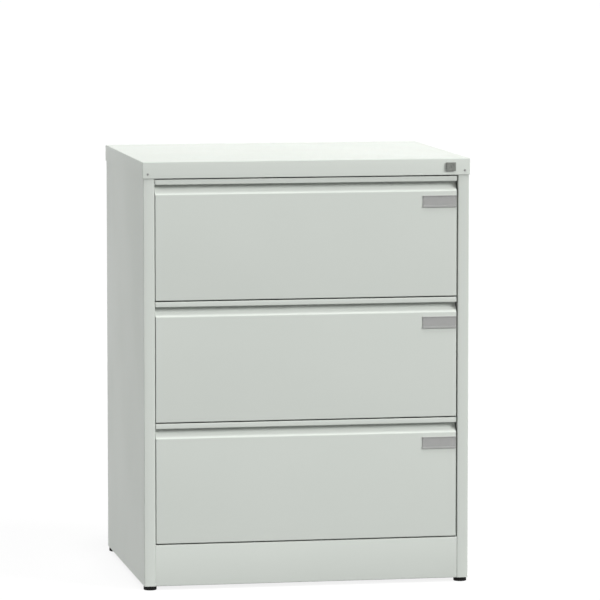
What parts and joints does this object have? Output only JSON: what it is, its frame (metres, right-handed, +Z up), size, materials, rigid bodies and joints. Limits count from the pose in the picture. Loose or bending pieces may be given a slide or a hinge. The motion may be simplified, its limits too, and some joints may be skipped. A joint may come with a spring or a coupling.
{
  "type": "lateral filing cabinet",
  "caption": "Wide steel filing cabinet with full-width drawers on telescopic slides, a grip groove along each front, a central lock, label holders and levelling feet.",
  "frame": {"origin": "centre of the box around the cabinet, on the floor", "axes": "+Z up, the drawers open towards -Y, +X to the right of someone facing the front"},
  "size_m": [0.7774, 0.634, 1.005],
  "materials": {
    "paint": "light grey powder coat with a fine satin texture",
    "zinc_steel": "bright zinc-plated steel",
    "lock_grey": "mid grey moulded head",
    "lock_steel": "nickel-plated plug",
    "label_grey": "grey extruded holder",
    "label_card": "blank card",
    "foot_black": "black moulded pad"
  },
  "bodies": {
    "cabinet": {"side_panel_left": "paint", "side_panel_right": "paint", "rear_post_left": "zinc_steel", "rear_post_right": "zinc_steel", "cover_rivet_left": "zinc_steel", "cover_rivet_right": "zinc_steel", "top_cover": "paint", "top_front_rail": "paint", "plinth_panel": "paint", "back_panel": "paint", "base_pan": "paint", "lock_housing": "lock_grey", "lock_bar_guide_upper": "zinc_steel", "lock_bar_guide_lower": "zinc_steel", "drawer_1_slide_outer_left": "zinc_steel", "drawer_1_slide_outer_right": "zinc_steel", "drawer_2_slide_outer_left": "zinc_steel", "drawer_2_slide_outer_right": "zinc_steel", "drawer_3_slide_outer_left": "zinc_steel", "drawer_3_slide_outer_right": "zinc_steel"},
    "drawer_1": {"drawer_1_front": "paint", "drawer_1_liner": "paint", "drawer_1_tray": "paint", "drawer_1_rear_wall": "paint", "drawer_1_divider": "paint", "drawer_1_label_holder": "label_grey", "drawer_1_label_card": "label_card", "drawer_1_runner_left": "zinc_steel", "drawer_1_runner_right": "zinc_steel"},
    "drawer_2": {"drawer_2_front": "paint", "drawer_2_liner": "paint", "drawer_2_tray": "paint", "drawer_2_rear_wall": "paint", "drawer_2_divider": "paint", "drawer_2_label_holder": "label_grey", "drawer_2_label_card": "label_card", "drawer_2_runner_left": "zinc_steel", "drawer_2_runner_right": "zinc_steel"},
    "drawer_3": {"drawer_3_front": "paint", "drawer_3_liner": "paint", "drawer_3_tray": "paint", "drawer_3_rear_wall": "paint", "drawer_3_divider": "paint", "drawer_3_label_holder": "label_grey", "drawer_3_label_card": "label_card", "drawer_3_runner_left": "zinc_steel", "drawer_3_runner_right": "zinc_steel"},
    "slides_1": {"drawer_1_slide_middle_left": "zinc_steel", "drawer_1_slide_middle_right": "zinc_steel"},
    "slides_2": {"drawer_2_slide_middle_left": "zinc_steel", "drawer_2_slide_middle_right": "zinc_steel"},
    "slides_3": {"drawer_3_slide_middle_left": "zinc_steel", "drawer_3_slide_middle_right": "zinc_steel"},
    "lock": {"lock_cylinder": "lock_steel", "lock_cam": "zinc_steel"},
    "lock_bar": {"lock_bar": "zinc_steel"},
    "foot_front_left": {"foot_front_left": "foot_black"},
    "foot_front_right": {"foot_front_right": "foot_black"},
    "foot_rear_left": {"foot_rear_left": "foot_black"},
    "foot_rear_right": {"foot_rear_right": "foot_black"}
  },
  "joints": [
    {"name": "drawer_1_pull", "type": "slide", "parent": "cabinet", "child": "drawer_1", "axis": [0, -1, 0], "range_m": [0, 0.55]},
    {"name": "drawer_2_pull", "type": "slide", "parent": "cabinet", "child": "drawer_2", "axis": [0, -1, 0], "range_m": [0, 0.55]},
    {"name": "drawer_3_pull", "type": "slide", "parent": "cabinet", "child": "drawer_3", "axis": [0, -1, 0], "range_m": [0, 0.55]},
    {"name": "slides_1_extend", "type": "slide", "parent": "cabinet", "child": "slides_1", "axis": [0, -1, 0], "range_m": [0, 0.275]},
    {"name": "slides_2_extend", "type": "slide", "parent": "cabinet", "child": "slides_2", "axis": [0, -1, 0], "range_m": [0, 0.275]},
    {"name": "slides_3_extend", "type": "slide", "parent": "cabinet", "child": "slides_3", "axis": [0, -1, 0], "range_m": [0, 0.275]},
    {"name": "lock_bar_lift", "type": "slide", "parent": "cabinet", "child": "lock_bar", "axis": [0, 0, 1], "range_m": [0, 0.01202]},
    {"name": "lock_turn", "type": "hinge", "parent": "cabinet", "child": "lock", "pos_m": [0.34255, -0.313, 0.98565], "axis": [0, -1, 0], "range_deg": [0, 90]},
    {"name": "foot_front_left_turn", "type": "hinge", "parent": "cabinet", "child": "foot_front_left", "pos_m": [-0.37125, -0.294, 0], "axis": [0, 0, 1], "continuous": true},
    {"name": "foot_front_right_turn", "type": "hinge", "parent": "cabinet", "child": "foot_front_right", "pos_m": [0.37125, -0.294, 0], "axis": [0, 0, 1], "continuous": true},
    {"name": "foot_rear_left_turn", "type": "hinge", "parent": "cabinet", "child": "foot_rear_left", "pos_m": [-0.37125, 0.293, 0], "axis": [0, 0, 1], "continuous": true},
    {"name": "foot_rear_right_turn", "type": "hinge", "parent": "cabinet", "child": "foot_rear_right", "pos_m": [0.37125, 0.293, 0], "axis": [0, 0, 1], "continuous": true}
  ],
  "couplings": [
    {"joint": "slides_1_extend", "follows": "drawer_1_pull", "ratio": 0.5},
    {"joint": "slides_2_extend", "follows": "drawer_2_pull", "ratio": 0.5},
    {"joint": "slides_3_extend", "follows": "drawer_3_pull", "ratio": 0.5},
    {"joint": "lock_turn", "follows": "lock_bar_lift", "rad_per_m": 130.67}
  ]
}
